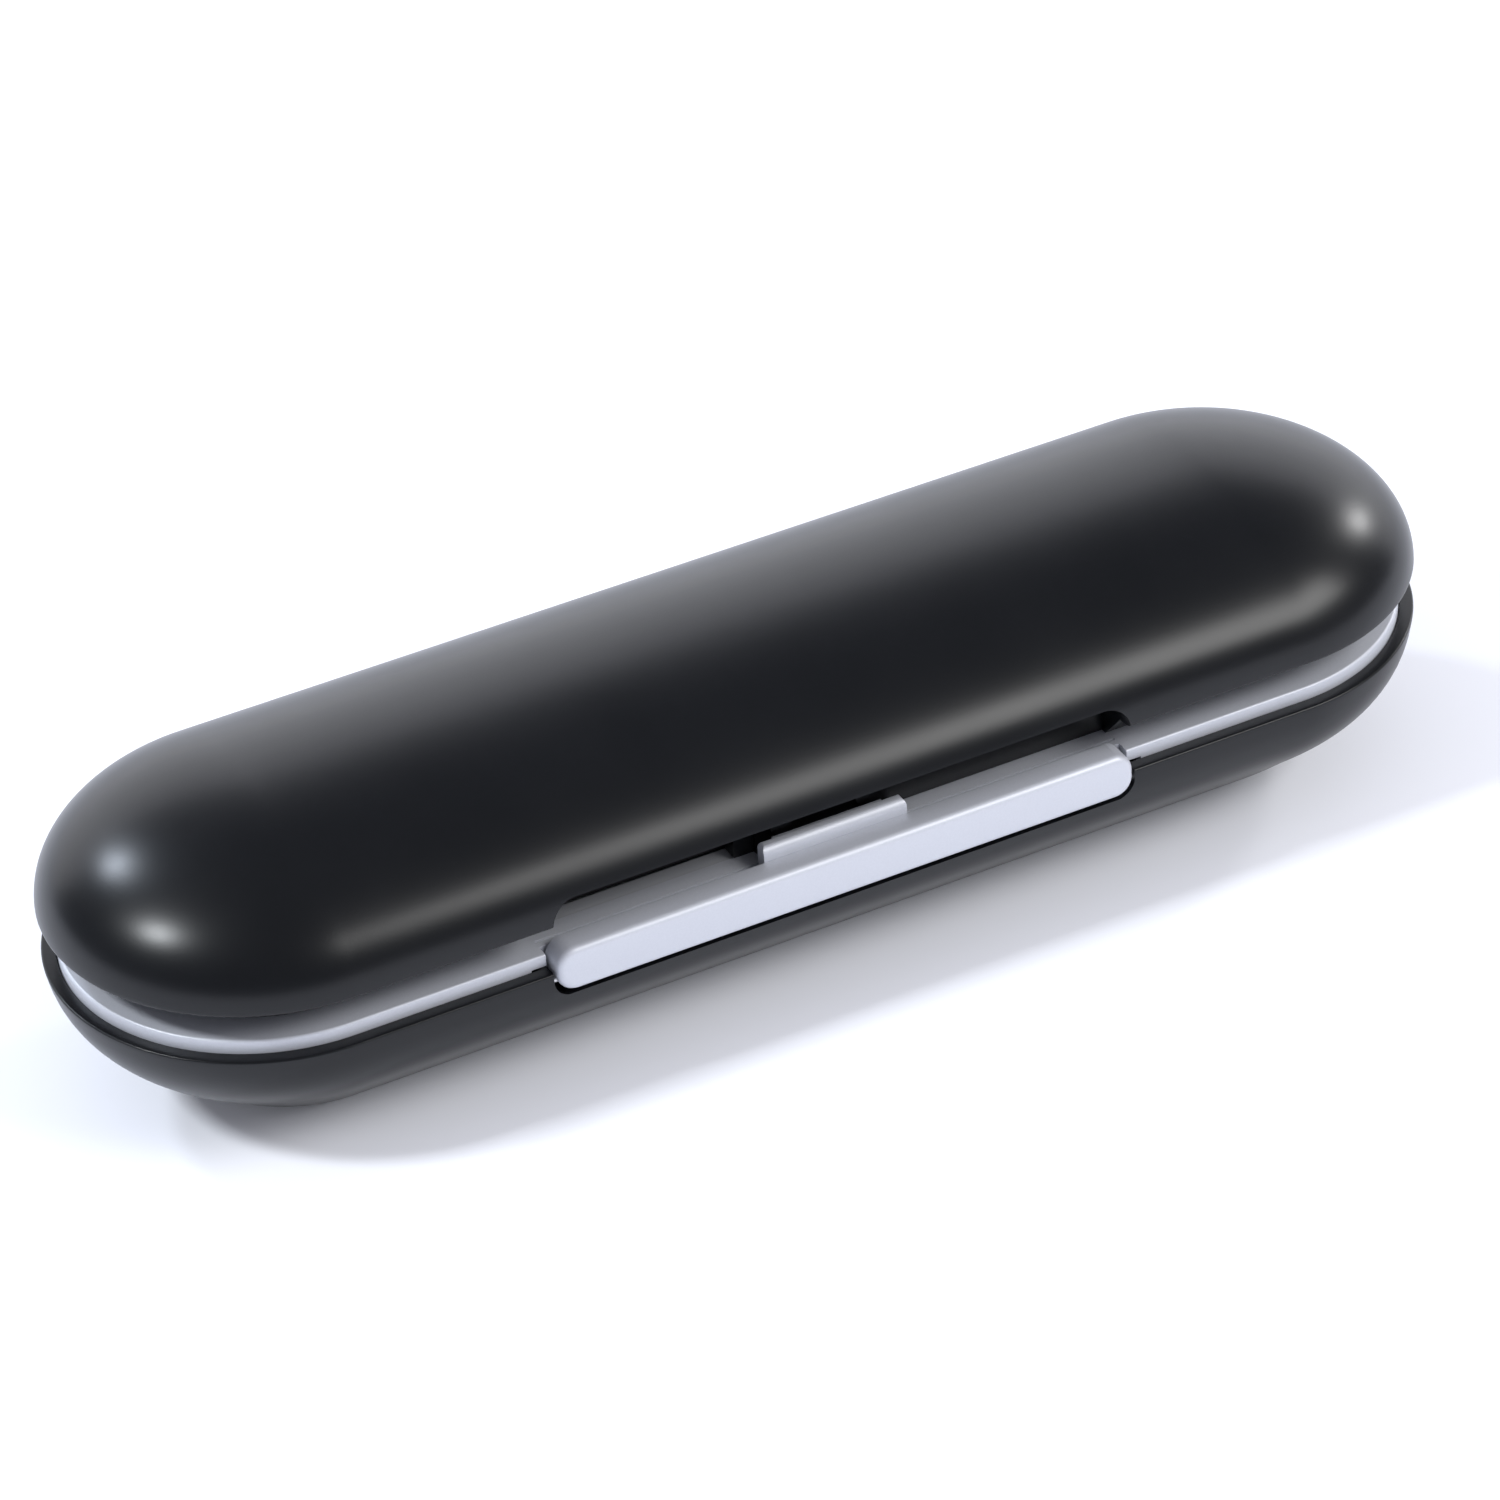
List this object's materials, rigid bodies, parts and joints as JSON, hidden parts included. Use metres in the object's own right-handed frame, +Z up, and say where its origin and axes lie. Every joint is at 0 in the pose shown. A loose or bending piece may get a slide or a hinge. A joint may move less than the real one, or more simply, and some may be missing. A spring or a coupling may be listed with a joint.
{
  "type": "toothbrush travel case",
  "caption": "Long domed clamshell case with a hinged lid, a silver frame, a flip latch and moulded bays for an electric toothbrush and its heads.",
  "frame": {"origin": "under the middle of the flat foot", "axes": "+X along the case, +Y towards the hinge, -Y towards the latch, +Z up"},
  "size_m": [0.222, 0.0668, 0.0496],
  "materials": {
    "black_shell": "black satin moulding with a very fine texture",
    "silver_trim": "silver satin lacquer on a moulding",
    "tray_grey": "mid grey matte moulding",
    "pin_steel": "bright drawn steel"
  },
  "bodies": {
    "base": {"base_shell": "black_shell", "rim_frame": "silver_trim", "bay_tray": "tray_grey", "latch_pin": "pin_steel", "hinge_pin": "pin_steel"},
    "lid": {"lid_shell": "black_shell", "lid_ring": "black_shell", "lid_liner": "tray_grey", "lid_catch": "pin_steel", "catch_screws": "pin_steel"},
    "latch": {"latch_bar": "silver_trim"}
  },
  "joints": [
    {"name": "lid_hinge", "type": "hinge", "parent": "base", "child": "lid", "pos_m": [0, 0.0308, 0.0268], "axis": [-1, 0, 0], "range_deg": [0, 110]},
    {"name": "latch_flip", "type": "hinge", "parent": "base", "child": "latch", "pos_m": [0, -0.0312, 0.02195], "axis": [1, 0, 0], "range_deg": [0, 40]}
  ]
}
